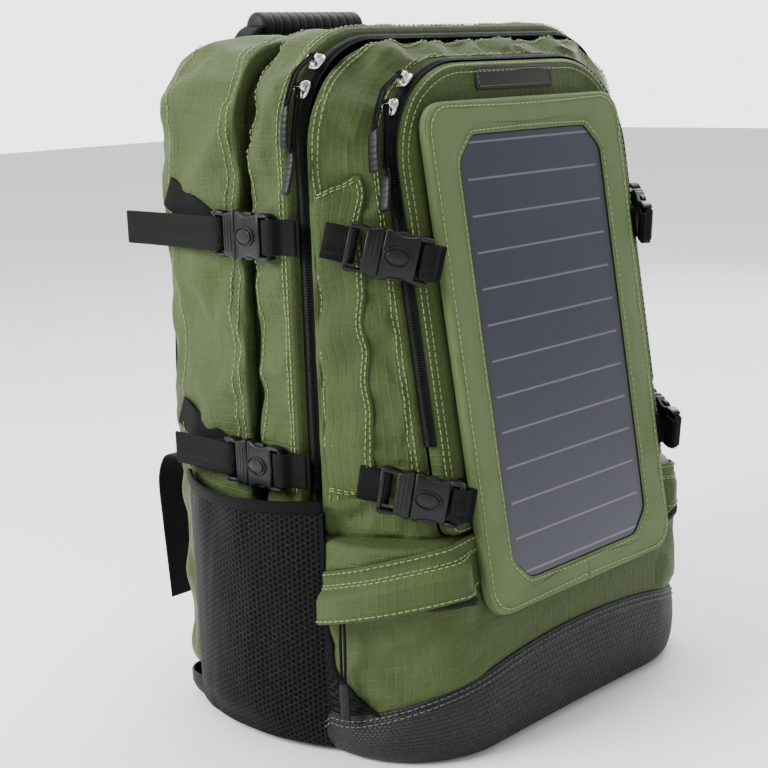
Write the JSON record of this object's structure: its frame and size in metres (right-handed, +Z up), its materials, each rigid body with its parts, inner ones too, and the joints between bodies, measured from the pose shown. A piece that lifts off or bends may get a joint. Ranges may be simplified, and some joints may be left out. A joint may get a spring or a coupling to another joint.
{
  "type": "solar backpack",
  "caption": "Day pack with two zipped compartments, a front pocket under a lift-up solar board, compression straps, mesh side pockets, padded harness and a power bank in a sleeve.",
  "frame": {"origin": "on the ground under the middle of the bag, at the seam of the second compartment's depth range", "axes": "+X to the viewer's right when looking at the solar board, +Y from the solar board to the wearer's back, +Z up"},
  "size_m": [0.334, 0.2844, 0.432],
  "materials": {
    "ripstop": "matt ripstop nylon",
    "base_weave": "coarse ballistic weave",
    "mesh": "open knitted mesh",
    "air_mesh": "spacer mesh",
    "webbing": "woven webbing",
    "zip_tape": "zip tape and coil",
    "binding": "elastic binding",
    "frame_skin": "coated woven cover",
    "hook_loop": "hook and loop",
    "lining": "thin nylon lining",
    "label": "bare moulded patch",
    "buckle": "acetal, fine grain",
    "pull": "moulded tab and cord",
    "grip": "ribbed rubber",
    "slider": "bright nickel",
    "film": "clear laminate, satin",
    "cell": "dark blue silicon",
    "board": "stiff backing sheet",
    "box": "moulded case",
    "circuit": "circuit board",
    "socket_metal": "plated steel",
    "battery": "lithium pouch cell",
    "bank": "smooth satin black",
    "stay": "satin",
    "sheet": "HDPE sheet"
  },
  "bodies": {
    "bag": {"rear_compartment": "ripstop", "second_compartment": "ripstop", "front_pocket": "ripstop", "bottom_compartment": "ripstop", "base_panel": "base_weave", "storm_flap": "ripstop", "wings": "ripstop", "side_pocket_left": "mesh", "side_pocket_right": "mesh", "side_pocket_bindings": "binding", "main_zip": "zip_tape", "pocket_zip": "zip_tape", "lower_zip": "zip_tape", "buckle_sockets": "buckle", "strap_anchors": "webbing", "shoulder_pads": "air_mesh", "ladder_locks": "buckle", "shoulder_webbing": "webbing", "back_pad": "air_mesh", "frame_sheet": "sheet", "frame_stays": "stay", "label_patch": "label", "hook_pads": "hook_loop", "power_bank_sleeve": "lining"},
    "solar_flap": {"solar_frame": "frame_skin", "solar_film": "film", "solar_cells": "cell", "backing_board": "board", "junction_box_case": "box", "junction_box_lid": "box", "regulator_board": "circuit", "usb_socket": "socket_metal"},
    "main_slider_low": {"main_slider_lower": "slider"},
    "main_pull_low": {"main_pull_lower": "pull"},
    "main_slider_high": {"main_slider_upper": "slider"},
    "main_pull_high": {"main_pull_upper": "pull"},
    "pocket_slider_low": {"pocket_slider_lower": "slider"},
    "pocket_pull_low": {"pocket_pull_lower": "pull"},
    "pocket_slider_high": {"pocket_slider_upper": "slider"},
    "pocket_pull_high": {"pocket_pull_upper": "pull"},
    "lower_slider": {"lower_slider": "slider"},
    "lower_pull": {"lower_pull": "pull"},
    "handle": {"handle_grip": "grip", "handle_webbing": "webbing"},
    "power_bank": {"power_bank_case": "bank", "power_bank_lid": "bank", "power_bank_cell": "battery", "power_bank_board": "circuit"},
    "clip_upper_rear_left": {"clip_upper_rear_left": "buckle", "strap_upper_rear_left": "webbing"},
    "clip_upper_rear_right": {"clip_upper_rear_right": "buckle", "strap_upper_rear_right": "webbing"},
    "clip_upper_front_left": {"clip_upper_front_left": "buckle"},
    "clip_upper_front_right": {"clip_upper_front_right": "buckle"},
    "clip_lower_rear_left": {"clip_lower_rear_left": "buckle", "strap_lower_rear_left": "webbing"},
    "clip_lower_rear_right": {"clip_lower_rear_right": "buckle", "strap_lower_rear_right": "webbing"},
    "clip_lower_front_left": {"clip_lower_front_left": "buckle"},
    "clip_lower_front_right": {"clip_lower_front_right": "buckle"}
  },
  "joints": [
    {"name": "solar_flap_lift", "type": "hinge", "parent": "bag", "child": "solar_flap", "pos_m": [0, -0.06999, 0.37396], "axis": [-1, 0, 0], "range_deg": [0, 100]},
    {"name": "main_zip_low", "type": "hinge", "parent": "bag", "child": "main_slider_low", "pos_m": [-0.083, -0.028, 0.356], "axis": [0, 1, 0], "range_deg": [-13, 0]},
    {"name": "main_pull_low_swing", "type": "hinge", "parent": "main_slider_low", "child": "main_pull_low", "pos_m": [-0.13784, -0.028, 0.3864], "axis": [0, 1, 0], "range_deg": [0, 3]},
    {"name": "main_zip_high", "type": "hinge", "parent": "bag", "child": "main_slider_high", "pos_m": [-0.083, -0.028, 0.356], "axis": [0, 1, 0], "range_deg": [0, 36]},
    {"name": "main_pull_high_lift", "type": "hinge", "parent": "main_slider_high", "child": "main_pull_high", "pos_m": [-0.12576, -0.028, 0.40186], "axis": [0, 1, 0], "range_deg": [0, 100]},
    {"name": "pocket_zip_low", "type": "hinge", "parent": "bag", "child": "pocket_slider_low", "pos_m": [-0.048, -0.06622, 0.3385], "axis": [0, 0.9889, -0.1487], "range_deg": [-12, 0]},
    {"name": "pocket_pull_low_swing", "type": "hinge", "parent": "pocket_slider_low", "child": "pocket_pull_low", "pos_m": [-0.1033, -0.06067, 0.37539], "axis": [0, 0.9889, -0.1487], "range_deg": [0, 6]},
    {"name": "pocket_zip_high", "type": "hinge", "parent": "bag", "child": "pocket_slider_high", "pos_m": [-0.048, -0.06622, 0.3385], "axis": [0, 0.9889, -0.1487], "range_deg": [0, 36]},
    {"name": "pocket_pull_high_lift", "type": "hinge", "parent": "pocket_slider_high", "child": "pocket_pull_high", "pos_m": [-0.08907, -0.0584, 0.39048], "axis": [0, 0.9889, -0.1487], "range_deg": [0, 100]},
    {"name": "lower_zip_run", "type": "hinge", "parent": "bag", "child": "lower_slider", "pos_m": [-0.08, -0.046, 0.097], "axis": [0, 0, 1], "range_deg": [-10, 55]},
    {"name": "lower_pull_lift", "type": "hinge", "parent": "lower_slider", "child": "lower_pull", "pos_m": [-0.15235, -0.06006, 0.097], "axis": [-0.1908, 0.9816, 0], "range_deg": [0, 10]},
    {"name": "clip_upper_rear_left_release", "type": "slide", "parent": "bag", "child": "clip_upper_rear_left", "axis": [0, 1, 0], "range_m": [0, 0.015]},
    {"name": "clip_upper_rear_right_release", "type": "slide", "parent": "bag", "child": "clip_upper_rear_right", "axis": [0, 1, 0], "range_m": [0, 0.015]},
    {"name": "clip_upper_front_left_release", "type": "slide", "parent": "bag", "child": "clip_upper_front_left", "axis": [-0.6703, 0.7033, 0.2366], "range_m": [0, 0.015]},
    {"name": "clip_upper_front_right_release", "type": "slide", "parent": "bag", "child": "clip_upper_front_right", "axis": [0.6703, 0.7033, 0.2366], "range_m": [0, 0.015]},
    {"name": "clip_lower_rear_left_release", "type": "slide", "parent": "bag", "child": "clip_lower_rear_left", "axis": [0, 1, 0], "range_m": [0, 0.015]},
    {"name": "clip_lower_rear_right_release", "type": "slide", "parent": "bag", "child": "clip_lower_rear_right", "axis": [0, 1, 0], "range_m": [0, 0.015]},
    {"name": "clip_lower_front_left_release", "type": "slide", "parent": "bag", "child": "clip_lower_front_left", "axis": [-0.5116, 0.84, 0.1806], "range_m": [0, 0.015]},
    {"name": "clip_lower_front_right_release", "type": "slide", "parent": "bag", "child": "clip_lower_front_right", "axis": [0.5116, 0.84, 0.1806], "range_m": [0, 0.015]},
    {"name": "handle_swing", "type": "hinge", "parent": "bag", "child": "handle", "pos_m": [0, 0.1105, 0.387], "axis": [-1, 0, 0], "range_deg": [0, 60]},
    {"name": "power_bank_lift", "type": "slide", "parent": "bag", "child": "power_bank", "axis": [0, 0, 1], "range_m": [0, 0.08]}
  ]
}
